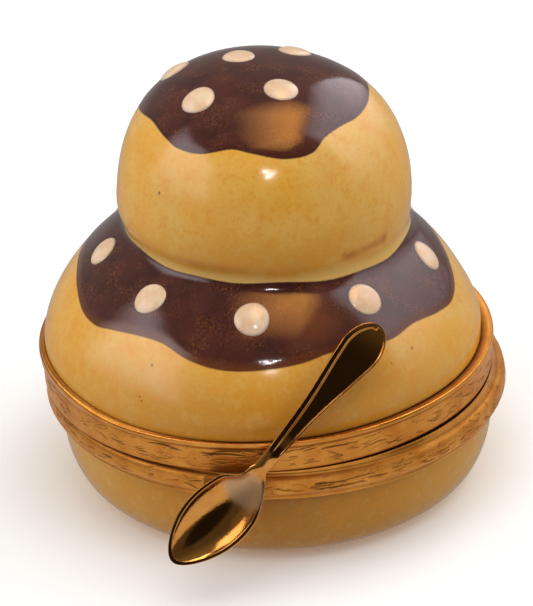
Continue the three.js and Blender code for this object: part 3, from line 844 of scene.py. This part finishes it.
def dishHalf(y):
    # half width of the bowl: an ellipse narrowed by 1 - p u^2 towards its ends
    k = spoon
    u = np.clip((y - k["dishMiddle"]) / k["dishLength"], -1, 1)
    return k["dishHalf"] * (1 - k["dishPoint"] * u**2) * np.sqrt(1 - u**2)


def spoonShape():
    # rings along Y: at each, x = half width times the cosine of an angle; the upper half of the angle follows the
    # face and the lower half the back, and both round off to the edge's middle height
    k = spoon
    low, high = k["dishMiddle"] - k["dishLength"], k["handleLength"]
    v = np.linspace(0, 1, k["rows"] + 2)[1:-1]
    y = (low + (high - low) * (v - 0.9 * np.sin(2 * np.pi * v) / (2 * np.pi)))[:, None]
    a = np.radians(turns(k["columns"]))[None, :]
    dish = np.where(y < k["overlap"][1], dishHalf(y), 0)
    handle = np.where(y > k["overlap"][0], handleHalf(y), 0)
    half = np.where(np.abs(y) < k["filletReach"], roundedMax(dish, handle, k["fillet"]), np.maximum(dish, handle))
    w = np.sign(np.cos(a)) * np.abs(np.cos(a)) ** 0.85
    x = half * w
    u = (y - k["dishMiddle"]) / k["dishLength"]

    def egg(shrink):  # 0 in the bowl's middle and 1 along its outline, drawn in by shrink
        across = x / ((k["dishHalf"] - shrink) * (1 - k["dishPoint"] * np.clip(u**2, 0, 1)))
        return across**2 + ((y - k["dishMiddle"]) / (k["dishLength"] - shrink)) ** 2
    within = np.clip(1 - egg(k["lip"]), 0, 1)
    faceDish = k["lipHeight"] - (k["dishDepth"] - k["dishWall"] + k["lipHeight"]) * within**0.85
    backDish = -k["dishDepth"] * np.sqrt(np.clip(1 - egg(0), 0, 1))
    middle = -k["bend"] * (np.clip(y, 0, None) / k["handleLength"]) ** k["bendPower"]
    middle = middle + k["arch"] * bell(y, k["archPlace"], k["archReach"])
    # the border is sunk inside: distance to the outline over its width, which is less on the right
    slope = np.gradient(half[:, 0], y[:, 0])[:, None]
    rim = np.minimum((half - np.abs(x)) / np.sqrt(1 + slope**2), high - y)
    width = k["borderWidth"] * np.where(x > 0, k["borderRight"], 1)
    sunk = ease(k["borderWall"], 1, rim / width) * ease(*k["borderRise"], y)
    faceHandle = middle + k["thickness"] / 2 - k["borderDepth"] * sunk
    backHandle = middle - k["thickness"] / 2
    toHandle = ease(*k["joint"], y)
    face = faceDish + (faceHandle - faceDish) * toHandle
    back = backDish + (backHandle - backDish) * toHandle
    edge = k["edgeHeight"] * (1 - toHandle) + middle * toHandle
    power = 2 + k["flatness"] * (ease(*k["rodTo"], y) + 1 - ease(*k["rodFrom"], y))
    rounding = (1 - np.abs(w) ** power) ** 0.5
    z = np.where(np.sin(a) >= 0, edge + (face - edge) * rounding, edge + (back - edge) * rounding)
    up = np.where(np.sin(a) >= 0, 1, 0)
    # the handle's sunk face is painted darker, partly patina and partly a painted dark reflection; a thin line along
    # the bowl's lip is painted dark, as shade
    lipLine = k["lipShade"] * bell(egg(k["lip"]), 1, k["lipLine"]) * (1 - toHandle)
    # painted reflection with wear: a pale patch on the bowl near the neck
    x0, y0, dx, dy = k["wornAndSheen"]
    wornAndSheen = (1 - ease(*k["wornSheenEdge"], np.hypot((x - x0) / dx, (y - y0) / dy))) * up
    aside = k["sway"] * np.clip(k["swayFrom"] - y, 0, None)
    cut = k["shoulder"] * ease(*k["shoulderRise"], y) * (1 - ease(*k["shoulderFall"], y)) * (np.cos(a) < 0)
    return np.stack([x * (1 - cut) - aside, y + 0 * x, z], -1), np.maximum(k["borderShade"] * sunk, lipLine) * up, wornAndSheen


def onSpoon(p):
    # from the spoon's own frame to the box's: turned about Z, stood up to its lean, moved to its place
    k = spoon
    return turned(turned(p, "z", -k["turn"]), "x", 90 - k["lean"]) + np.array(k["place"])


catch = dict(size=(6.2, 0.5, 3.3), slope=11.5, y=-28.425, z=12.1, turn=-11)


def makeSpoon():
    # the spoon, a lathed stub that solders it to the lid's rim, and a sloping plate on the base behind its bowl
    k = spoon
    rows, grooveAndShade, wornAndSheen = spoonShape()
    r, low = k["solderRadius"], -k["solderDepth"]
    stub = np.array([[0.2, low], [r - 0.15, low], [r, low + 0.15], [r, -0.3], [r - 0.3, 0.3], [0.2, 0.35]])
    stub = around(stub, turns(40)) + np.array([0, k["solderPlace"], 0])
    addPiece("claspSpoon", [(onSpoon(rows), False), (onSpoon(stub), False)], spoonGilt, "lid", ["spoon"],
             dict(grooveAndShade=[grooveAndShade, 0], wornAndSheen=[wornAndSheen, 0]))
    plate = turned(roundedBlock(catch["size"], 0.14, 64, 30), "x", catch["slope"])
    plate = turned(plate + np.array([0, catch["y"], catch["z"]]), "z", catch["turn"])
    # the plate is painted dark: painted shade behind the spoon's bowl
    addPiece("catchPlate", [(plate, False)], gilt, "base", ["catch_plate"], dict(grooveAndShade=[0.6]))


makeSpoon()


view = dict(  # the focal length and the frame are in pixels
    distance=300, elevation=27.564, roll=-1.759, focal=2491.2, target=(-0.888, 0, 20.934), frame=(533, 606), sensor=36)
studio = dict(
    backdrop=1.0, dark=0.015, floorReach=420, floorGlow=0.06,
    soft=dict(front=0.78, back=0.2, ground=0.6, groundFront=0.34),  # the tent as matt surfaces meet it
    gloss=dict(front=0.1, back=0.26, ground=0.34, groundFront=0.36),  # and as it mirrors in glaze and metal
    hole=(10, 22, 0.85, 0.93),  # where the camera looks in: turn, elevation, cosines of its outer and inner edge
    # lamps as (name, middle, aim, size, radiance, colour, rays that meet it, pieces that it lights)
    lamps=[("rightSoft", (450, 680, 480), (0, 680, 480), (1990, 960), 0.88, (1, 1, 1), "soft", "all"),
           ("leftSoft", (-450, -110, 250), (0, -110, 250), (680, 500), 0.95, (1, 1, 1), "soft", "all"),
           ("rightMetal", (430, 787.5, 480), (0, 787.5, 480), (1775, 960), 0.36, (1, 1, 1), "gloss", "metal"),
           ("leftMetal", (-430, -110, 250), (0, -110, 250), (680, 500), 0.06, (1, 1, 1), "gloss", "metal"),
           ("leftMetalHigh", (-420, 0, 525), (0, 0, 525), (300, 450), 1.7, (1, 1, 1), "gloss", "metal"),
           ("topSoft", (0, 0, 700), (0, 0, 0), (700, 700), 1.4, (1, 1, 0.98), "soft", "all"),
           ("topMetal", (0, 410, 600), (0, 410, 0), (600, 580), 3.5, (1, 1, 0.95), "gloss", "metal"),
           ("floorMetal", (0, -260, 2), (0, -260, 100), (1300, 720), 0.36, (1, 1, 1), "gloss", "metal"),
           ("frontRims", (0, -420, 170), (0, 0, 20), (1000, 420), 0.5, (1, 1, 1), "gloss", "rims"),
           ("highRims", (0, -260, 420), (0, 0, 14), (900, 300), 0.6, (1, 0.95, 0.85), "gloss", "rims"),
           ("sparkOne", (2, -150, 148), (0, 0, 30), (5, 5), 130, (1, 1, 1), "gloss", "glazed"),
           ("sparkTwo", (18, -152, 143), (0, 0, 30), (6, 4), 130, (1, 1, 1), "gloss", "glazed"),
           ("sparkThree", (9, -156, 134), (0, 0, 30), (8, 4), 130, (1, 1, 1), "gloss", "glazed")],
    # panels that the glaze mirrors and that fade towards their edges, as stacks of overlapping parts: each edge runs
    # from its first to its second place through the stack, and the parts stand a gap apart
    stacks=dict(
        wall=dict(parts=9, x=440, gap=-5, near=(-165, -75), far=(1100, 1040), low=(50, 350), high=(980, 620),
                  radiance=2.0, colour=(1, 0.94, 1)),
        window=dict(parts=6, x=-430, gap=-5, near=(-480, -280), far=(90, -30), low=(30, 240), high=(480, 390),
                    radiance=2.6, colour=(1, 0.95, 1)),
        warm=dict(parts=9, height=500, gap=4, left=(-110, 120), right=(165, 255), front=(-340, -160), back=(70, 270),
                  radiance=6.7, colour=(1, 0.42, 0.09))),
    glazed=["bunLid", "enamelDots", "bunBase"],
    rims=["baseRim", "lidRim", "hingePin", "catchPlate"],
    metal=["baseRim", "lidRim", "hingePin", "catchPlate", "claspSpoon"],
)


def makeFloor():
    # a flat pale square under the box that glows a little
    mesh = bpy.data.meshes.new("floor")
    corners = np.array([[-1, -1, 0], [1, -1, 0], [1, 1, 0], [-1, 1, 0]]) * studio["floorReach"] * mm
    mesh.from_pydata(corners.tolist(), [], [(0, 1, 2, 3)])
    material, place = newFinish("paleFloor")
    pale = place.noise(300).mix(tone(252, 252, 252), tone(249, 249, 249))
    place.surface({"Base Color": pale, "Roughness": 0.7, "Emission Color": (1, 1, 1, 1),
                   "Emission Strength": studio["floorGlow"]})
    mesh.materials.append(material)
    floor = bpy.data.objects.new("floor", mesh)
    floor.visible_diffuse = floor.visible_glossy = False  # the tent's lower half lights the box from below
    bpy.context.scene.collection.objects.link(floor)


def addLamp(name, place, aim, size, radiance, colour, rays, lit):
    # a rectangle that shines with the given radiance: energy = 4 x area x radiance; lit names its linked pieces
    light = bpy.data.lights.new(name, "AREA")
    light.shape, light.size, light.size_y = "RECTANGLE", size[0] * mm, size[1] * mm
    light.energy, light.color = 4 * radiance * size[0] * size[1] * mm**2, colour
    lamp = bpy.data.objects.new(name, light)
    place, aim = Vector(place) * mm, Vector(aim) * mm
    lamp.location = place
    lamp.rotation_euler = (aim - place).to_track_quat("-Z", "Y").to_euler()
    lamp.visible_camera = False
    lamp.visible_glossy, lamp.visible_diffuse = rays == "gloss", rays == "soft"
    if lit != "all":
        lamp.light_linking.receiver_collection = bpy.data.collections[lit]
    bpy.context.scene.collection.objects.link(lamp)


def addStack(name, s):
    # overlapping parts that share the radiance: each edge moves evenly from its first to its second place; a stack with
    # a height shines down, and the others shine across
    edges = ("left", "right", "front", "back") if "height" in s else ("near", "far", "low", "high")
    for part, share in enumerate(np.linspace(0, 1, s["parts"])):
        a, b, c, d = (s[key][0] + (s[key][1] - s[key][0]) * share for key in edges)
        if "height" in s:
            place = np.array([(a + b) / 2, (c + d) / 2, s["height"] + s["gap"] * part])
            aim = place * [1, 1, 0]
        else:
            place = np.array([s["x"] + s["gap"] * part, (a + b) / 2, (c + d) / 2])
            aim = place * [0, 1, 1]
        addLamp(name + str(part), place, aim, (b - a, d - c), s["radiance"] / s["parts"], s["colour"], "gloss",
                "glazed")


def makeLight():
    # a white tent all round, dark where the camera looks in; the camera itself sees a pale backdrop
    world = bpy.data.worlds.new("tent")
    bpy.context.scene.world = world
    world.use_nodes = True
    world.node_tree.nodes.clear()
    here = Tint(world.node_tree)
    direction = here.node("TexCoord")
    ahead = 0 - here.node("SeparateXYZ", {0: direction}, 1)
    up = here.node("SeparateXYZ", {0: direction}, 2).rise(-0.08, 0.08)
    turnedFront = ahead.rise(-0.1, 0.5)

    def tent(part):  # front and back, sky and ground, blended by the direction
        sky = part["back"] + turnedFront * (part["front"] - part["back"])
        ground = part["ground"] + turnedFront * (part["groundFront"] - part["ground"])
        return sky * up + ground * (1 - up)

    turn, elevation, outer, inner = studio["hole"]
    hole = tuple(float(v) for v in bunRays(turn, elevation))
    towards = here.node("VectorMath", {0: direction, 1: hole}, 1, operation="DOT_PRODUCT")
    opening = towards.rise(outer, inner)
    glossy, seen = here.node("LightPath", out=3), here.node("LightPath")
    level = tent(studio["soft"]) * (1 - glossy) + tent(studio["gloss"]) * glossy
    level = level * (1 - opening) + studio["dark"] * opening
    level = seen * studio["backdrop"] + (1 - seen) * level
    shader = here.node("Background", {"Color": (1, 1, 0.99, 1), "Strength": level})
    here.node("OutputWorld", {"Surface": shader})
    for group in ("glazed", "rims", "metal"):
        made = bpy.data.collections.new(group)
        for name in studio[group]:
            made.objects.link(bpy.data.objects[name])
    for lamp in studio["lamps"]:
        addLamp(*lamp)
    for name, stack in studio["stacks"].items():
        addStack(name, stack)
    print("light set")


def makeCamera():
    # looks at the target from its distance and elevation, rolled about the line of sight
    e, r = np.radians(view["elevation"]), np.radians(view["roll"])
    back = np.array([0, -np.cos(e), np.sin(e)])
    right, up = np.array([1, 0, 0]), np.array([0, np.sin(e), np.cos(e)])
    across, upright = right * np.cos(r) + up * np.sin(r), -right * np.sin(r) + up * np.cos(r)
    camera = bpy.data.cameras.new("camera")
    camera.sensor_width = view["sensor"]
    camera.lens = view["focal"] / max(view["frame"]) * view["sensor"]
    camera.clip_start, camera.clip_end = 0.01, 20
    eye = np.array(view["target"]) + back * view["distance"]
    rig = bpy.data.objects.new("camera", camera)
    rig.matrix_world = Matrix([[across[i], upright[i], back[i], eye[i] * mm] for i in range(3)] + [[0, 0, 0, 1]])
    bpy.context.scene.collection.objects.link(rig)
    bpy.context.scene.camera = rig
    print("camera set")


makeFloor()
makeLight()
makeCamera()
bpy.context.scene.view_settings.view_transform = "Standard"
